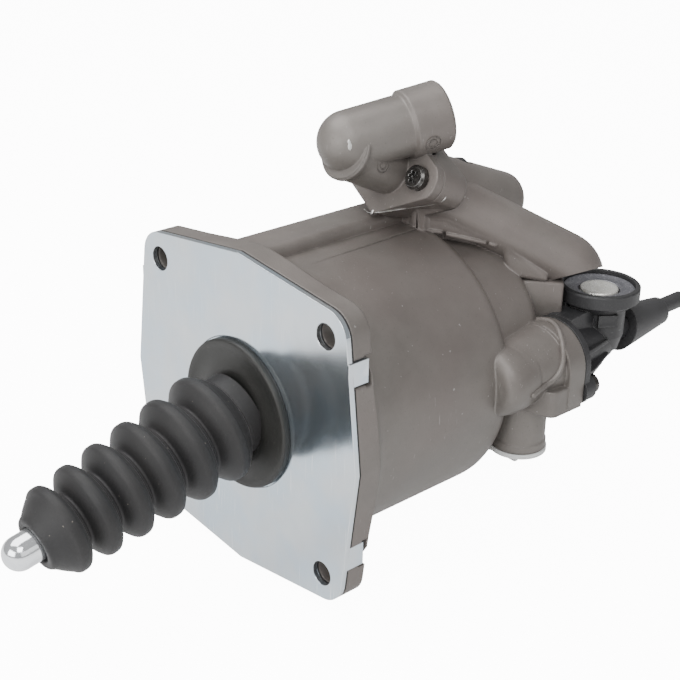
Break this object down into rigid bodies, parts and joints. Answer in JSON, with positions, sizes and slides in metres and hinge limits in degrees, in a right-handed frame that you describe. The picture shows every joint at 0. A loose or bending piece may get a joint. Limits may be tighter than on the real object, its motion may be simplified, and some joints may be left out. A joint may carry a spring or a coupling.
{
  "type": "clutch actuator",
  "caption": "Air-assisted clutch actuator with a square flange, booted push rod, hydraulic inlet elbow, relay valve block and vent fitting.",
  "frame": {"origin": "centre of the mounting bolt pattern on the cover plate's front face", "axes": "-Y towards the push rod's tip, +Y into the housing along the barrel's axis, +X towards the valve block, +Z towards the inlet elbow"},
  "size_m": [0.1472, 0.3356, 0.1954],
  "materials": {
    "cast_aluminium": "satin",
    "cover_steel": "bright zinc",
    "gasket": "matt",
    "boot_rubber": "matt",
    "rod_steel": "polished",
    "pale_nylon": "matt",
    "spring_steel": "satin",
    "piston_aluminium": "satin",
    "seal_rubber": "matt",
    "bush_bronze": "satin",
    "dark_screw": "oiled black",
    "black_plastic": "moulded",
    "ring_metal": "dull",
    "button_metal": "worn",
    "spout_rubber": "semi-gloss",
    "plug_plastic": "translucent white",
    "cap_rubber": "matt"
  },
  "bodies": {
    "housing_body": {"housing": "cast_aluminium", "cover_plate": "cover_steel", "cover_gasket": "gasket", "boot": "boot_rubber", "preload_spring": "spring_steel", "plunger_seal": "seal_rubber", "plunger_bush": "bush_bronze", "plunger_circlip": "spring_steel", "elbow": "cast_aluminium", "elbow_oring": "seal_rubber", "elbow_screws": "dark_screw", "relay_spring": "spring_steel", "inlet_valve_seat": "bush_bronze", "inlet_valve_spring": "spring_steel", "vent_body": "black_plastic", "vent_gasket": "gasket", "vent_screws": "dark_screw", "vent_ring": "ring_metal", "vent_button": "button_metal", "vent_spout": "spout_rubber"},
    "piston_body": {"air_piston": "piston_aluminium", "piston_lip_seal": "seal_rubber", "piston_guide_ring": "pale_nylon", "plunger": "rod_steel", "ball_seat": "pale_nylon", "rod_clip": "spring_steel"},
    "rod_body": {"pushrod": "rod_steel"},
    "relay_body": {"relay_piston": "piston_aluminium", "relay_seal": "seal_rubber"},
    "valve_body": {"inlet_valve": "black_plastic"},
    "plug_body": {"port_plug": "plug_plastic"},
    "bleed_screw_body": {"bleed_screw": "cover_steel"},
    "bleed_cap_body": {"bleed_cap": "cap_rubber"}
  },
  "joints": [
    {"name": "piston_slide", "type": "slide", "parent": "housing_body", "child": "piston_body", "axis": [0, 1, 0], "range_m": [0, 0.034], "stiffness_N_per_m": 900, "springref_m": -0.02, "deforming": ["boot", "preload_spring"]},
    {"name": "pushrod_swing", "type": "hinge", "parent": "piston_body", "child": "rod_body", "pos_m": [0, 0.022, 0], "axis": [1, 0, 0], "range_deg": [-20, 0]},
    {"name": "relay_slide", "type": "slide", "parent": "housing_body", "child": "relay_body", "axis": [0, 1, 0], "range_m": [0, 0.0023], "stiffness_N_per_m": 200, "springref_m": -0.002, "deforming": ["relay_spring"]},
    {"name": "valve_slide", "type": "slide", "parent": "housing_body", "child": "valve_body", "axis": [0, 1, 0], "range_m": [0, 0.0023], "deforming": ["inlet_valve_spring"]},
    {"name": "plug_pull", "type": "slide", "parent": "housing_body", "child": "plug_body", "axis": [0, 0, -1], "range_m": [0, 0.014]},
    {"name": "bleed_turn", "type": "hinge", "parent": "housing_body", "child": "bleed_screw_body", "pos_m": [0.0018, 0.1226, 0.0764], "axis": [0, 0, 1], "range_deg": [0, 270]},
    {"name": "bleed_cap_pull", "type": "slide", "parent": "housing_body", "child": "bleed_cap_body", "axis": [0, 0, 1], "range_m": [0, 0.01]}
  ],
  "couplings": [
    {"joint": "valve_slide", "follows": "relay_slide", "ratio": 1}
  ]
}
